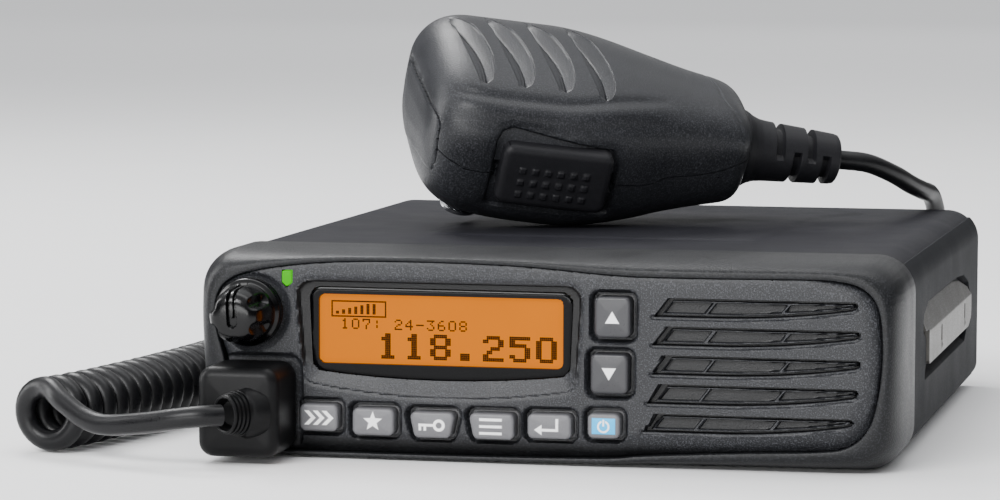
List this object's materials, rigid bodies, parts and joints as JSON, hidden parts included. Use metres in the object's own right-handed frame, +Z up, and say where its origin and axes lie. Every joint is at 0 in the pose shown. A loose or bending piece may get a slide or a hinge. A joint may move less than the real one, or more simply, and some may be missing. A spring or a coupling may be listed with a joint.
{
  "type": "panel-mount radio transceiver",
  "caption": "Panel-mount airband radio with an amber display, a volume knob, keys and a front loudspeaker, its hand microphone lying on the case at the end of a curly cord.",
  "frame": {"origin": "on the flat of the bottom cover that the set stands on, midway between its sides and midway along its case", "axes": "+X to the right as the front is faced, +Y into the set's depth, +Z up"},
  "size_m": [0.2049, 0.2472, 0.0986],
  "materials": {
    "bezel_plastic": "fine-grained black moulding",
    "display_glass": "backlit amber window in a black surround",
    "display_cell": "clear cell",
    "circuit_board": "green solder mask",
    "key_rubber": "satin grey with pale printed marks",
    "knob_plastic": "satin black, fluted",
    "steel_parts": "plated",
    "status_light": "clear green",
    "speaker_cone": "pressed paper cone in a steel basket",
    "gasket_foam": "foam",
    "socket_plastic": "black moulding",
    "case_casting": "die-cast, painted dark grey",
    "case_paint": "satin dark grey paint",
    "catch_steel": "satin plated",
    "plated_socket": "nickel plated",
    "hand_plastic": "fine-grained black moulding",
    "grip_rubber": "satin black",
    "bright_stud": "bright",
    "plug_plastic": "clear moulding",
    "cord_jacket": "satin black jacket"
  },
  "bodies": {
    "radio": {"front_bezel": "bezel_plastic", "display_lens": "display_glass", "lcd_module": "display_cell", "display_board": "circuit_board", "main_board": "circuit_board", "key_mat": "key_rubber", "volume_pot": "steel_parts", "shield_can": "steel_parts", "cover_screw_1": "steel_parts", "cover_screw_2": "steel_parts", "cover_screw_3": "steel_parts", "cover_screw_4": "steel_parts", "status_led": "status_light", "front_speaker": "speaker_cone", "speaker_gasket": "gasket_foam", "mic_jack": "socket_plastic", "power_inlet": "socket_plastic", "speaker_jack": "socket_plastic", "power_module": "socket_plastic", "chassis": "case_casting", "top_cover": "case_paint", "bottom_cover": "case_paint", "side_plate_left": "catch_steel", "side_plate_right": "catch_steel", "antenna_socket": "plated_socket", "accessory_socket": "plated_socket", "plug_boot": "grip_rubber", "mic_plug": "plug_plastic", "cord_coil": "cord_jacket", "plug_lead": "cord_jacket", "hand_lead": "cord_jacket"},
    "volume_control": {"volume_knob": "knob_plastic", "volume_shaft": "steel_parts"},
    "scan_key": {"scan_key": "key_rubber"},
    "priority_key": {"priority_key": "key_rubber"},
    "squelch_key": {"squelch_key": "key_rubber"},
    "menu_key": {"menu_key": "key_rubber"},
    "group_key": {"group_key": "key_rubber"},
    "power_key": {"power_key": "key_rubber"},
    "up_key": {"up_key": "key_rubber"},
    "down_key": {"down_key": "key_rubber"},
    "handset": {"mic_front_shell": "hand_plastic", "mic_back_shell": "hand_plastic", "mic_end_cap": "hand_plastic", "talk_switch": "socket_plastic", "mic_speaker": "speaker_cone", "mic_element": "steel_parts", "mic_board": "circuit_board", "mic_strain_relief": "grip_rubber", "hanger_stud": "bright_stud"},
    "talk_button": {"talk_button": "grip_rubber"}
  },
  "joints": [
    {"name": "volume_turn", "type": "hinge", "parent": "radio", "child": "volume_control", "pos_m": [-0.0677, -0.095, 0.0334], "axis": [0, -1, 0], "range_deg": [-180, 120]},
    {"name": "scan_press", "type": "slide", "parent": "radio", "child": "scan_key", "axis": [0, 1, 0], "range_m": [0, 0.0007], "stiffness_N_per_m": 800, "springref_m": -0.0006},
    {"name": "priority_press", "type": "slide", "parent": "radio", "child": "priority_key", "axis": [0, 1, 0], "range_m": [0, 0.0007], "stiffness_N_per_m": 800, "springref_m": -0.0006},
    {"name": "squelch_press", "type": "slide", "parent": "radio", "child": "squelch_key", "axis": [0, 1, 0], "range_m": [0, 0.0007], "stiffness_N_per_m": 800, "springref_m": -0.0006},
    {"name": "menu_press", "type": "slide", "parent": "radio", "child": "menu_key", "axis": [0, 1, 0], "range_m": [0, 0.0007], "stiffness_N_per_m": 800, "springref_m": -0.0006},
    {"name": "group_press", "type": "slide", "parent": "radio", "child": "group_key", "axis": [0, 1, 0], "range_m": [0, 0.0007], "stiffness_N_per_m": 800, "springref_m": -0.0006},
    {"name": "power_press", "type": "slide", "parent": "radio", "child": "power_key", "axis": [0, 1, 0], "range_m": [0, 0.0007], "stiffness_N_per_m": 800, "springref_m": -0.0006},
    {"name": "up_press", "type": "slide", "parent": "radio", "child": "up_key", "axis": [0, 1, 0], "range_m": [0, 0.0007], "stiffness_N_per_m": 800, "springref_m": -0.0006},
    {"name": "down_press", "type": "slide", "parent": "radio", "child": "down_key", "axis": [0, 1, 0], "range_m": [0, 0.0007], "stiffness_N_per_m": 800, "springref_m": -0.0006},
    {"name": "handset_lift", "type": "slide", "parent": "radio", "child": "handset", "axis": [0, 0, 1], "range_m": [0, 0.04]},
    {"name": "talk_press", "type": "slide", "parent": "handset", "child": "talk_button", "axis": [-0.3382, 0.8524, 0.3989], "range_m": [0, 0.0013], "stiffness_N_per_m": 1200, "springref_m": -0.0008}
  ]
}
